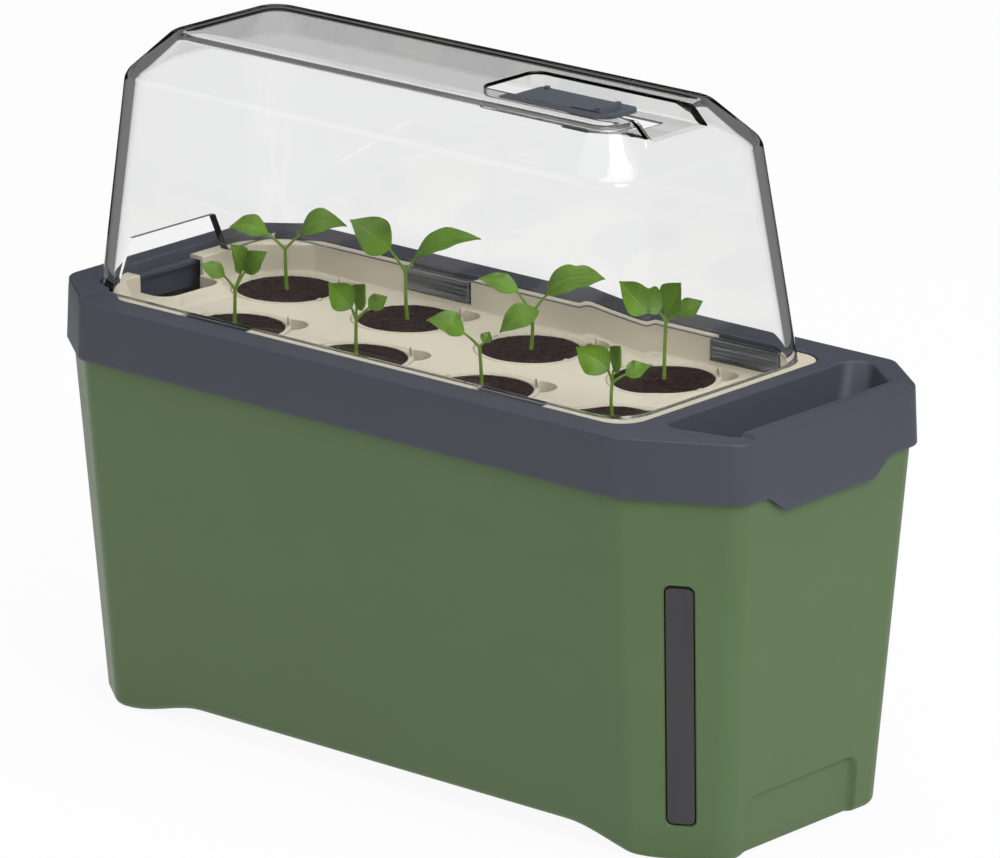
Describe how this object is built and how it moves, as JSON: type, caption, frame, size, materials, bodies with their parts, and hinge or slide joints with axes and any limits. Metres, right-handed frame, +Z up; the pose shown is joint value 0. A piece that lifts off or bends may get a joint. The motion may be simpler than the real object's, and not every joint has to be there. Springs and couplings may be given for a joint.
{
  "type": "herb planter with dome",
  "caption": "Tapered self-watering herb planter with a collar rim, a lift-out tray of seed cups, a sight glass and a clear dome with a sliding vent.",
  "frame": {"origin": "middle of the planter's footprint, on the surface that it stands on", "axes": "+X along the length towards the filler end, -Y out of the front, +Z up"},
  "size_m": [0.43, 0.186, 0.338],
  "materials": {
    "pot_green": "satin moulded",
    "rim_slate": "matte moulded",
    "tray_cream": "matte moulded",
    "dome_clear": "clear, polished",
    "clip_smoke": "smoky, polished",
    "slider_slate": "satin moulded",
    "smoked_pane": "smoked, polished",
    "gasket_rubber": "matte",
    "deck_dark": "matte moulded",
    "felt": "felted",
    "soil": "loose, damp",
    "leaf": "waxy"
  },
  "bodies": {
    "planter": {"outer_pot": "pot_green", "rim_frame": "rim_slate", "sight_glass": "smoked_pane", "sight_gasket": "gasket_rubber", "capillary_deck": "deck_dark", "capillary_mat": "felt", "wick_basket_left": "deck_dark", "wick_basket_right": "deck_dark", "wick_core_left": "felt", "wick_core_right": "felt"},
    "tray": {"seed_tray": "tray_cream", "bay_sill": "tray_cream", "cup_seat_1": "tray_cream", "cup_seat_2": "tray_cream", "cup_seat_3": "tray_cream", "cup_seat_4": "tray_cream", "cup_seat_5": "tray_cream", "cup_seat_6": "tray_cream", "cup_seat_7": "tray_cream", "cup_seat_8": "tray_cream"},
    "cup_1": {"seed_cup_1": "tray_cream", "soil_plug_1": "soil", "seedling_1": "leaf"},
    "cup_2": {"seed_cup_2": "tray_cream", "soil_plug_2": "soil", "seedling_2": "leaf"},
    "cup_3": {"seed_cup_3": "tray_cream", "soil_plug_3": "soil", "seedling_3": "leaf"},
    "cup_4": {"seed_cup_4": "tray_cream", "soil_plug_4": "soil", "seedling_4": "leaf"},
    "cup_5": {"seed_cup_5": "tray_cream", "soil_plug_5": "soil", "seedling_5": "leaf"},
    "cup_6": {"seed_cup_6": "tray_cream", "soil_plug_6": "soil", "seedling_6": "leaf"},
    "cup_7": {"seed_cup_7": "tray_cream", "soil_plug_7": "soil", "seedling_7": "leaf"},
    "cup_8": {"seed_cup_8": "tray_cream", "soil_plug_8": "soil", "seedling_8": "leaf"},
    "dome": {"dome": "dome_clear", "dome_clip_1": "clip_smoke", "dome_clip_2": "clip_smoke", "dome_clip_3": "clip_smoke", "dome_clip_4": "clip_smoke"},
    "vent": {"vent_slider": "slider_slate"}
  },
  "joints": [
    {"name": "tray_lift", "type": "slide", "parent": "planter", "child": "tray", "axis": [0, 0, 1], "range_m": [0, 0.12]},
    {"name": "cup_1_lift", "type": "slide", "parent": "tray", "child": "cup_1", "axis": [0, 0, 1], "range_m": [0, 0.03]},
    {"name": "cup_2_lift", "type": "slide", "parent": "tray", "child": "cup_2", "axis": [0, 0, 1], "range_m": [0, 0.03]},
    {"name": "cup_3_lift", "type": "slide", "parent": "tray", "child": "cup_3", "axis": [0, 0, 1], "range_m": [0, 0.03]},
    {"name": "cup_4_lift", "type": "slide", "parent": "tray", "child": "cup_4", "axis": [0, 0, 1], "range_m": [0, 0.03]},
    {"name": "cup_5_lift", "type": "slide", "parent": "tray", "child": "cup_5", "axis": [0, 0, 1], "range_m": [0, 0.03]},
    {"name": "cup_6_lift", "type": "slide", "parent": "tray", "child": "cup_6", "axis": [0, 0, 1], "range_m": [0, 0.03]},
    {"name": "cup_7_lift", "type": "slide", "parent": "tray", "child": "cup_7", "axis": [0, 0, 1], "range_m": [0, 0.03]},
    {"name": "cup_8_lift", "type": "slide", "parent": "tray", "child": "cup_8", "axis": [0, 0, 1], "range_m": [0, 0.03]},
    {"name": "dome_lift", "type": "slide", "parent": "tray", "child": "dome", "axis": [0, 0, 1], "range_m": [0, 0.15]},
    {"name": "vent_slide", "type": "slide", "parent": "dome", "child": "vent", "axis": [1, 0, 0], "range_m": [-0.006, 0.024]}
  ]
}
